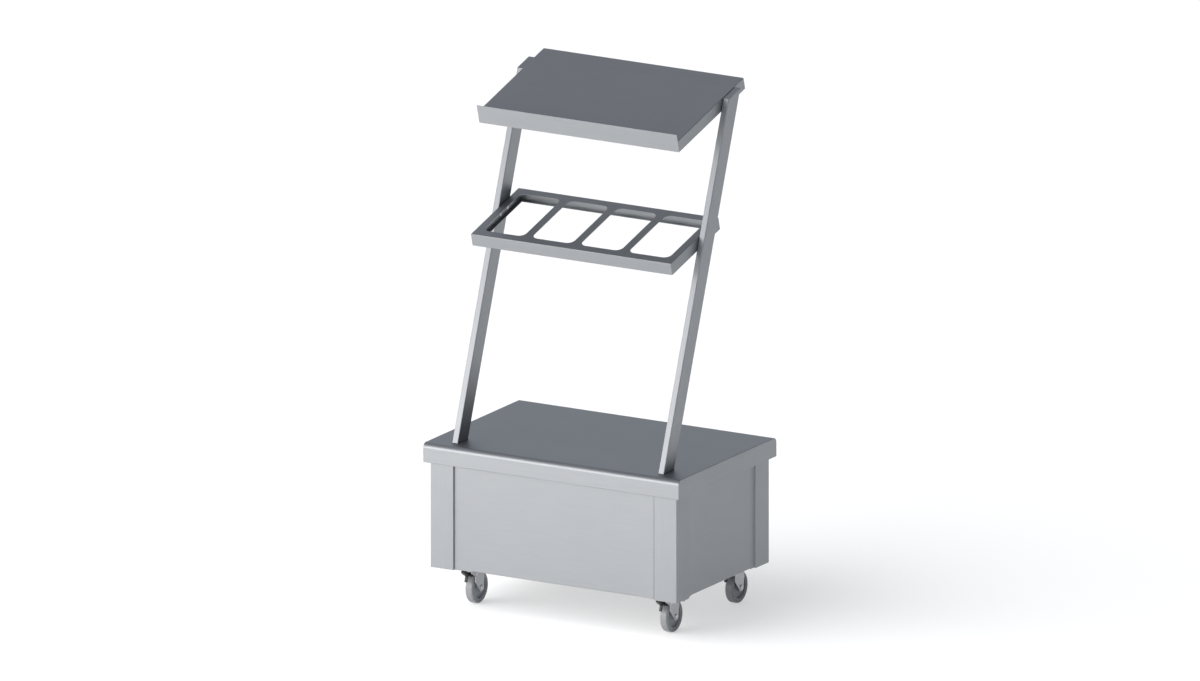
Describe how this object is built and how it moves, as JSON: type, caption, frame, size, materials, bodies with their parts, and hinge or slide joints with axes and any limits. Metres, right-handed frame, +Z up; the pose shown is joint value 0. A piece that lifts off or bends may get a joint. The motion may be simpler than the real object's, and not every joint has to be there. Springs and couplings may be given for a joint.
{
  "type": "mobile serving counter",
  "caption": "Mobile serving counter: a low sheet-metal cabinet on braked swivel castors, with leaning posts that carry a container shelf and a sloping tray shelf.",
  "frame": {"origin": "on the floor, under the middle of the worktop's plan", "axes": "+X to the right seen from the customer's side, +Y to the operator's side, which the posts lean to, +Z up"},
  "size_m": [0.893, 0.593, 1.6382],
  "materials": {
    "worktop_steel": "fine brushed stainless sheet, satin",
    "cabinet_steel": "fine brushed stainless sheet, satin",
    "post_steel": "brushed stainless tube, satin",
    "shelf_steel": "fine brushed stainless sheet, satin",
    "inner_steel": "mill finish steel, dull",
    "fastener_steel": "plain turned steel",
    "ball_steel": "polished bearing balls",
    "earth_bolt": "blackened bolt, matt",
    "board": "pressed wood board, unfinished",
    "castor_zinc": "zinc-plated pressed steel, satin",
    "bush": "sintered bronze sleeve",
    "wheel_core": "moulded grey plastic, matt",
    "tyre_grey": "grey non-marking rubber, matt",
    "pedal_black": "black coated pressed steel, matt"
  },
  "bodies": {
    "counter": {"countertop": "worktop_steel", "underlay_board": "board", "upright_front_left": "cabinet_steel", "upright_front_right": "cabinet_steel", "upright_rear_left": "cabinet_steel", "upright_rear_right": "cabinet_steel", "front_panel": "cabinet_steel", "side_panel_left": "cabinet_steel", "side_panel_right": "cabinet_steel", "rear_rail": "cabinet_steel", "bottom_deck": "cabinet_steel", "base_rail_left": "inner_steel", "base_rail_right": "inner_steel", "post_left": "post_steel", "post_right": "post_steel", "post_caps": "post_steel", "post_foot_plates": "inner_steel", "post_backing_plates": "inner_steel", "post_bolts": "fastener_steel", "pan_shelf": "shelf_steel", "tray_shelf": "shelf_steel", "tray_stiffener": "shelf_steel", "shelf_screws": "fastener_steel", "rivet_nuts": "fastener_steel", "top_brackets": "inner_steel", "top_screws": "fastener_steel", "castor_bolts": "fastener_steel", "kingpins": "fastener_steel", "swivel_balls": "ball_steel", "earth_bracket": "fastener_steel", "earth_bolt": "earth_bolt", "castor_fl_plate": "castor_zinc", "castor_fr_plate": "castor_zinc", "castor_rl_plate": "castor_zinc", "castor_rr_plate": "castor_zinc"},
    "swivel_fl": {"castor_fl_fork": "castor_zinc", "castor_fl_pins": "fastener_steel", "castor_fl_bush": "bush"},
    "wheel_fl": {"castor_fl_core": "wheel_core", "castor_fl_tyre": "tyre_grey"},
    "pedal_fl": {"castor_fl_pedal": "pedal_black"},
    "swivel_fr": {"castor_fr_fork": "castor_zinc", "castor_fr_pins": "fastener_steel", "castor_fr_bush": "bush"},
    "wheel_fr": {"castor_fr_core": "wheel_core", "castor_fr_tyre": "tyre_grey"},
    "pedal_fr": {"castor_fr_pedal": "pedal_black"},
    "swivel_rl": {"castor_rl_fork": "castor_zinc", "castor_rl_pins": "fastener_steel", "castor_rl_bush": "bush"},
    "wheel_rl": {"castor_rl_core": "wheel_core", "castor_rl_tyre": "tyre_grey"},
    "pedal_rl": {"castor_rl_pedal": "pedal_black"},
    "swivel_rr": {"castor_rr_fork": "castor_zinc", "castor_rr_pins": "fastener_steel", "castor_rr_bush": "bush"},
    "wheel_rr": {"castor_rr_core": "wheel_core", "castor_rr_tyre": "tyre_grey"},
    "pedal_rr": {"castor_rr_pedal": "pedal_black"}
  },
  "joints": [
    {"name": "swivel_fl_turn", "type": "hinge", "parent": "counter", "child": "swivel_fl", "pos_m": [-0.34, -0.197, 0.117], "axis": [0, 0, 1], "continuous": true},
    {"name": "wheel_fl_roll", "type": "hinge", "parent": "swivel_fl", "child": "wheel_fl", "pos_m": [-0.34, -0.156, 0.05], "axis": [1, 0, 0], "continuous": true},
    {"name": "brake_fl_press", "type": "hinge", "parent": "swivel_fl", "child": "pedal_fl", "pos_m": [-0.34, -0.186, 0.0985], "axis": [1, 0, 0], "range_deg": [0, 12]},
    {"name": "swivel_fr_turn", "type": "hinge", "parent": "counter", "child": "swivel_fr", "pos_m": [0.34, -0.197, 0.117], "axis": [0, 0, 1], "continuous": true},
    {"name": "wheel_fr_roll", "type": "hinge", "parent": "swivel_fr", "child": "wheel_fr", "pos_m": [0.34, -0.156, 0.05], "axis": [1, 0, 0], "continuous": true},
    {"name": "brake_fr_press", "type": "hinge", "parent": "swivel_fr", "child": "pedal_fr", "pos_m": [0.34, -0.186, 0.0985], "axis": [1, 0, 0], "range_deg": [0, 12]},
    {"name": "swivel_rl_turn", "type": "hinge", "parent": "counter", "child": "swivel_rl", "pos_m": [-0.34, 0.197, 0.117], "axis": [0, 0, 1], "continuous": true},
    {"name": "wheel_rl_roll", "type": "hinge", "parent": "swivel_rl", "child": "wheel_rl", "pos_m": [-0.34, 0.238, 0.05], "axis": [1, 0, 0], "continuous": true},
    {"name": "brake_rl_press", "type": "hinge", "parent": "swivel_rl", "child": "pedal_rl", "pos_m": [-0.34, 0.208, 0.0985], "axis": [1, 0, 0], "range_deg": [0, 12]},
    {"name": "swivel_rr_turn", "type": "hinge", "parent": "counter", "child": "swivel_rr", "pos_m": [0.34, 0.197, 0.117], "axis": [0, 0, 1], "continuous": true},
    {"name": "wheel_rr_roll", "type": "hinge", "parent": "swivel_rr", "child": "wheel_rr", "pos_m": [0.34, 0.238, 0.05], "axis": [1, 0, 0], "continuous": true},
    {"name": "brake_rr_press", "type": "hinge", "parent": "swivel_rr", "child": "pedal_rr", "pos_m": [0.34, 0.208, 0.0985], "axis": [1, 0, 0], "range_deg": [0, 12]}
  ]
}
